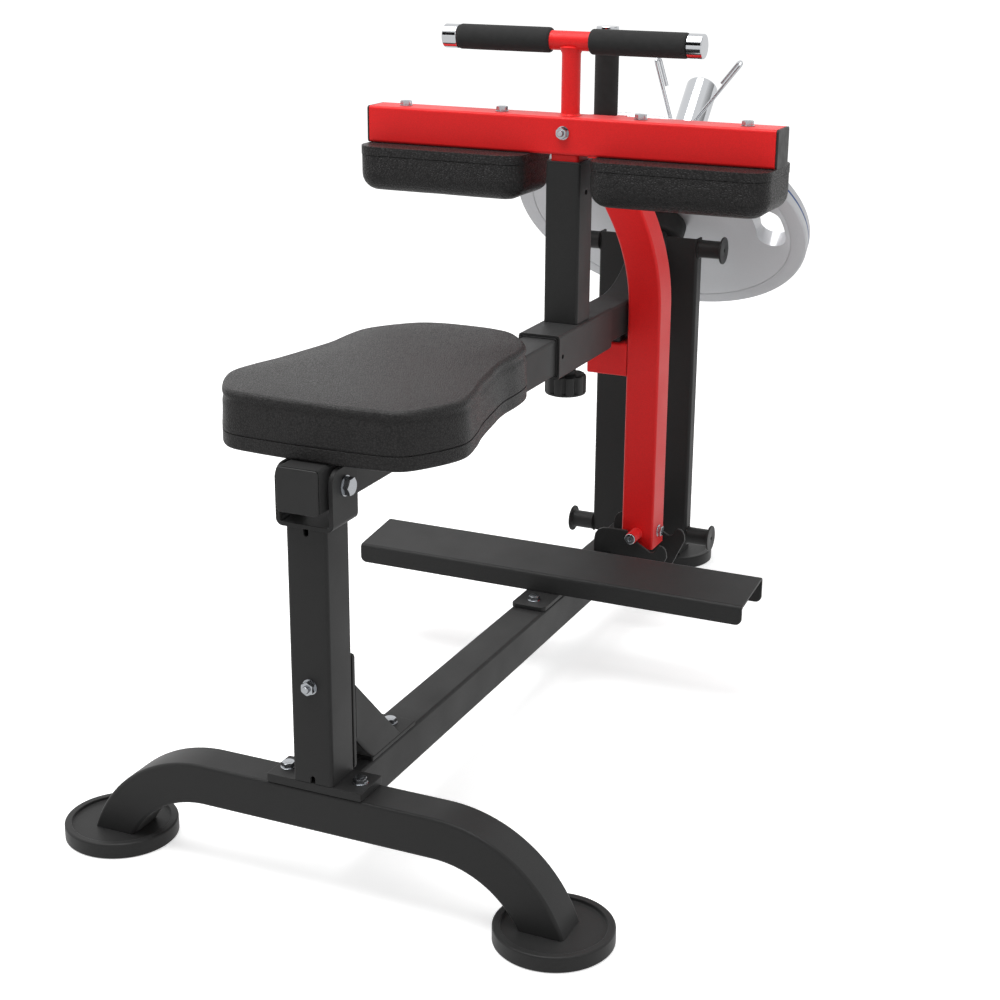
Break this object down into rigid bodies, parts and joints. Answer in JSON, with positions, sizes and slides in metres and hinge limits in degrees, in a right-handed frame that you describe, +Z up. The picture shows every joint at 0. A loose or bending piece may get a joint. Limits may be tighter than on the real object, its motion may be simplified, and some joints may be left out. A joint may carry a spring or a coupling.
{
  "type": "seated calf raise machine",
  "caption": "Plate loaded seated calf raise machine: pivoting seat lever with horn, sliding knee pads, toe plate and swing aside safety catch on a steel floor frame.",
  "frame": {"origin": "middle of the bounding box on the floor", "axes": "+Z up, +Y from the seat towards the load at the rear, +X to the right of a user who faces the rear; the safety catch is on +X"},
  "size_m": [0.698, 1.338, 0.9059],
  "materials": {
    "black_powder_coat": "matt black powder coat, fine texture",
    "red_powder_coat": "bright red powder coat, fine texture",
    "zinc_plate": "bright zinc plated fasteners",
    "chrome_plate": "polished chrome plate",
    "black_plastic": "moulded black plastic",
    "black_gloss_plastic": "smooth black plastic",
    "black_rubber": "black rubber",
    "black_vinyl": "black grained vinyl over foam",
    "black_foam": "black closed cell foam grip",
    "covered_board": "plywood board under black grained vinyl",
    "grey_enamel": "light grey enamelled cast iron"
  },
  "bodies": {
    "frame": {"arch_foot": "black_powder_coat", "foot_disc_left": "black_rubber", "foot_disc_right": "black_rubber", "foot_disc_rear": "black_rubber", "base_tube": "black_powder_coat", "upright_base_plate": "black_powder_coat", "front_upright": "black_powder_coat", "upright_bolt": "zinc_plate", "brace_mount_plate": "black_powder_coat", "brace_tube": "black_powder_coat", "brace_toe_plate": "black_powder_coat", "pivot_bracket": "black_powder_coat", "pivot_bolt": "zinc_plate", "foot_bracket_plate": "black_powder_coat", "foot_plate": "black_powder_coat", "rear_panel": "black_powder_coat", "band_peg_upper_left": "black_powder_coat", "band_peg_upper_right": "black_powder_coat", "band_peg_lower_left": "black_powder_coat", "band_peg_lower_right": "black_powder_coat", "catch_plate_front": "black_powder_coat", "catch_plate_rear": "black_powder_coat"},
    "lever": {"lever_tube": "black_powder_coat", "lever_end_cap": "black_plastic", "pivot_bush_left": "zinc_plate", "pivot_bush_right": "zinc_plate", "horn_collar": "black_gloss_plastic", "weight_horn": "chrome_plate", "seat_board": "covered_board", "seat_cushion": "black_vinyl"},
    "carriage": {"carriage_sleeve": "black_powder_coat", "sleeve_liner": "black_plastic", "knee_upright": "black_powder_coat", "height_guide": "black_plastic", "clamp_boss": "black_powder_coat"},
    "knob": {"clamp_knob": "black_plastic"},
    "knee_head": {"inner_tube": "red_powder_coat", "knee_beam": "red_powder_coat", "beam_cap_left": "black_plastic", "beam_cap_right": "black_plastic", "beam_bolt": "zinc_plate", "pad_board_left": "covered_board", "pad_board_right": "covered_board", "knee_pad_left": "black_vinyl", "knee_pad_right": "black_vinyl", "handle_tee": "red_powder_coat", "grip_left": "black_foam", "grip_right": "black_foam", "handle_cap_left": "chrome_plate", "handle_cap_right": "chrome_plate"},
    "catch": {"catch_arm": "red_powder_coat", "catch_pin": "zinc_plate", "catch_stub": "red_powder_coat", "stub_bumper": "black_rubber", "catch_post": "red_powder_coat", "post_grip": "black_foam", "post_cap": "chrome_plate"},
    "weight": {"weight_plate": "grey_enamel"},
    "collar": {"spring_collar": "chrome_plate"}
  },
  "joints": [
    {"name": "lever_lift", "type": "hinge", "parent": "frame", "child": "lever", "pos_m": [0, -0.60153, 0.4834], "axis": [1, 0, 0], "range_deg": [0, 10]},
    {"name": "catch_swing", "type": "hinge", "parent": "frame", "child": "catch", "pos_m": [0.0575, 0.27547, 0.1584], "axis": [0, 1, 0], "range_deg": [0, 18.5]},
    {"name": "carriage_slide", "type": "slide", "parent": "lever", "child": "carriage", "axis": [0, 1, 0], "range_m": [-0.15, 0.05]},
    {"name": "knob_turn", "type": "hinge", "parent": "carriage", "child": "knob", "pos_m": [0, 0.09547, 0.42], "axis": [0, 0, 1], "continuous": true},
    {"name": "pad_height", "type": "slide", "parent": "carriage", "child": "knee_head", "axis": [0, 0, 1], "range_m": [0, 0.11]},
    {"name": "plate_slide", "type": "slide", "parent": "lever", "child": "weight", "axis": [0, 0.7009, 0.7133], "range_m": [0, 0.2]},
    {"name": "collar_slide", "type": "slide", "parent": "weight", "child": "collar", "axis": [0, 0.7009, 0.7133], "range_m": [-0.075, 0.11]}
  ],
  "couplings": [
    {"joint": "catch_swing", "follows": "lever_lift", "ratio": 1.8}
  ]
}
